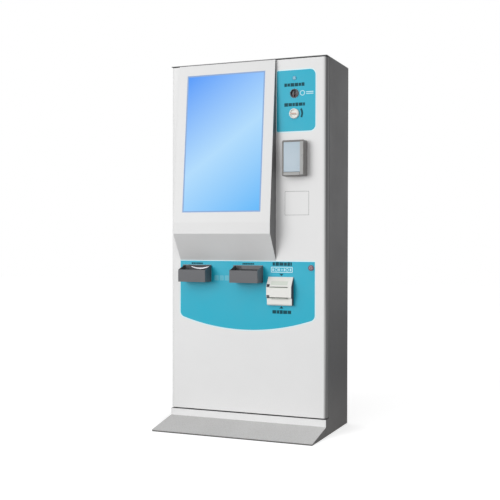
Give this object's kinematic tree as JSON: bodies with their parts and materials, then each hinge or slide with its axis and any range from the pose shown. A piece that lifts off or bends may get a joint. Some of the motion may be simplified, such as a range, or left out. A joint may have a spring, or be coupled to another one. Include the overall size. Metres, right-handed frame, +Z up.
{
  "type": "ticket vending machine",
  "caption": "Floor standing ticket vending machine with a leaning display hood, coin, note and card inlets, open trays and a foot ramp, built behind one hinged front door.",
  "frame": {"origin": "centre of the four floor anchor holes, on the floor", "axes": "+X to the right for someone facing the machine, the front faces -Y, +Z up"},
  "size_m": [0.7825, 0.537, 1.7],
  "materials": {
    "back_panel": "satin",
    "base_frame": "satin",
    "blanking_cover": "satin",
    "cable_gland": "matt",
    "card_reader_case": "satin",
    "card_reader_pad": "satin",
    "cash_box": "satin",
    "cash_runners": "satin",
    "coin_chute": "matt",
    "coin_cup": "satin",
    "coin_hopper": "matt",
    "coin_inlet": "satin",
    "coin_return_knob": "satin",
    "coin_selector": "matt",
    "coin_shelf": "satin",
    "coin_tray": "satin",
    "control_box": "satin",
    "display_glass": "gloss",
    "display_module": "matt",
    "display_rails": "satin",
    "door_panel": "satin",
    "door_seal": "matt",
    "equipment_shelf": "satin",
    "fan_housing": "matt",
    "fan_rotor": "matt",
    "front_frame": "satin",
    "hinge_door_leaves": "satin",
    "hinge_frame_leaves": "satin",
    "hood_cheeks": "satin",
    "hood_front": "satin",
    "hopper_disc": "satin",
    "kick_plate": "satin",
    "latch_bar": "satin",
    "latch_guides": "satin",
    "lock_body": "polished",
    "lock_plug": "satin",
    "lower_overlay": "satin",
    "note_bezel": "satin",
    "note_cassette": "matt",
    "note_lamps": "gloss",
    "note_roller_lower": "matt",
    "note_roller_upper": "matt",
    "note_snout": "satin",
    "note_unit": "matt",
    "paper_roll": "matt",
    "payout_duct": "satin",
    "platen_roller": "matt",
    "power_supply": "satin",
    "printer_body": "matt",
    "printer_stand": "satin",
    "ramp_body": "satin",
    "ramp_tread": "satin",
    "roof_cap": "satin",
    "side_panel_left": "satin",
    "side_panel_right": "satin",
    "status_lamp": "gloss",
    "strikers": "satin",
    "ticket_flap": "gloss",
    "ticket_tray": "satin",
    "upper_overlay": "satin"
  },
  "bodies": {
    "cabinet": {"back_panel": "back_panel", "base_frame": "base_frame", "cable_gland": "cable_gland", "cash_runners": "cash_runners", "control_box": "control_box", "door_seal": "door_seal", "equipment_shelf": "equipment_shelf", "fan_housing": "fan_housing", "front_frame": "front_frame", "hinge_frame_leaves": "hinge_frame_leaves", "kick_plate": "kick_plate", "note_unit": "note_unit", "power_supply": "power_supply", "printer_body": "printer_body", "printer_stand": "printer_stand", "ramp_body": "ramp_body", "ramp_tread": "ramp_tread", "roof_cap": "roof_cap", "side_panel_left": "side_panel_left", "side_panel_right": "side_panel_right", "strikers": "strikers"},
    "door": {"door_panel": "door_panel", "hinge_door_leaves": "hinge_door_leaves", "hood_front": "hood_front", "hood_cheeks": "hood_cheeks", "display_glass": "display_glass", "display_module": "display_module", "display_rails": "display_rails", "upper_overlay": "upper_overlay", "lower_overlay": "lower_overlay", "status_lamp": "status_lamp", "coin_inlet": "coin_inlet", "coin_selector": "coin_selector", "coin_chute": "coin_chute", "card_reader_case": "card_reader_case", "card_reader_pad": "card_reader_pad", "blanking_cover": "blanking_cover", "note_bezel": "note_bezel", "note_snout": "note_snout", "note_lamps": "note_lamps", "coin_tray": "coin_tray", "coin_cup": "coin_cup", "ticket_tray": "ticket_tray", "lock_body": "lock_body", "latch_guides": "latch_guides", "coin_shelf": "coin_shelf", "coin_hopper": "coin_hopper", "payout_duct": "payout_duct"},
    "return_knob": {"coin_return_knob": "coin_return_knob"},
    "ticket_flap": {"ticket_flap": "ticket_flap"},
    "lock_plug": {"lock_plug": "lock_plug"},
    "latch": {"latch_bar": "latch_bar"},
    "hopper_disc": {"hopper_disc": "hopper_disc"},
    "note_feed_upper": {"note_roller_upper": "note_roller_upper"},
    "note_feed_lower": {"note_roller_lower": "note_roller_lower"},
    "cassette": {"note_cassette": "note_cassette"},
    "platen": {"platen_roller": "platen_roller"},
    "paper": {"paper_roll": "paper_roll"},
    "cash_box": {"cash_box": "cash_box"},
    "fan": {"fan_rotor": "fan_rotor"}
  },
  "joints": [
    {"name": "door_swing", "type": "hinge", "parent": "cabinet", "child": "door", "pos_m": [-0.3915, -0.131, 0.888], "axis": [0, 0, -1], "range_deg": [0, 110]},
    {"name": "return_knob_turn", "type": "hinge", "parent": "door", "child": "return_knob", "pos_m": [0.234, -0.171, 1.446], "axis": [0, 1, 0], "range_deg": [0, 50], "stiffness_Nm_per_rad": 0.05},
    {"name": "ticket_flap_swing", "type": "hinge", "parent": "door", "child": "ticket_flap", "pos_m": [0.015, -0.145, 0.737], "axis": [-1, 0, 0], "range_deg": [0, 55]},
    {"name": "lock_turn", "type": "hinge", "parent": "door", "child": "lock_plug", "pos_m": [0.3155, -0.171, 0.752], "axis": [0, -1, 0], "range_deg": [0, 90]},
    {"name": "latch_lift", "type": "slide", "parent": "door", "child": "latch", "axis": [0, 0, 1], "range_m": [0, 0.0198]},
    {"name": "hopper_disc_spin", "type": "hinge", "parent": "door", "child": "hopper_disc", "pos_m": [-0.245, -0.1, 0.83], "axis": [0, 0, 1], "continuous": true},
    {"name": "note_feed_upper_spin", "type": "hinge", "parent": "cabinet", "child": "note_feed_upper", "pos_m": [0.172, -0.082, 0.6724], "axis": [1, 0, 0], "continuous": true},
    {"name": "note_feed_lower_spin", "type": "hinge", "parent": "cabinet", "child": "note_feed_lower", "pos_m": [0.172, -0.082, 0.6536], "axis": [1, 0, 0], "continuous": true},
    {"name": "cassette_lift", "type": "slide", "parent": "cabinet", "child": "cassette", "axis": [0, 0, 1], "range_m": [0, 0.12]},
    {"name": "paper_spin", "type": "hinge", "parent": "cabinet", "child": "paper", "pos_m": [0.015, -0.05, 0.852], "axis": [1, 0, 0], "continuous": true},
    {"name": "platen_spin", "type": "hinge", "parent": "cabinet", "child": "platen", "pos_m": [0.015, -0.102, 0.738], "axis": [1, 0, 0], "continuous": true},
    {"name": "cash_box_slide", "type": "slide", "parent": "cabinet", "child": "cash_box", "axis": [0, -1, 0], "range_m": [0, 0.04]},
    {"name": "fan_spin", "type": "hinge", "parent": "cabinet", "child": "fan", "pos_m": [0.18, 0.155, 1.56], "axis": [0, 1, 0], "continuous": true}
  ],
  "couplings": [
    {"joint": "lock_turn", "follows": "latch_lift", "rad_per_m": 79.33},
    {"joint": "note_feed_lower_spin", "follows": "note_feed_upper_spin", "ratio": -1},
    {"joint": "platen_spin", "follows": "paper_spin", "ratio": 6.8889}
  ]
}
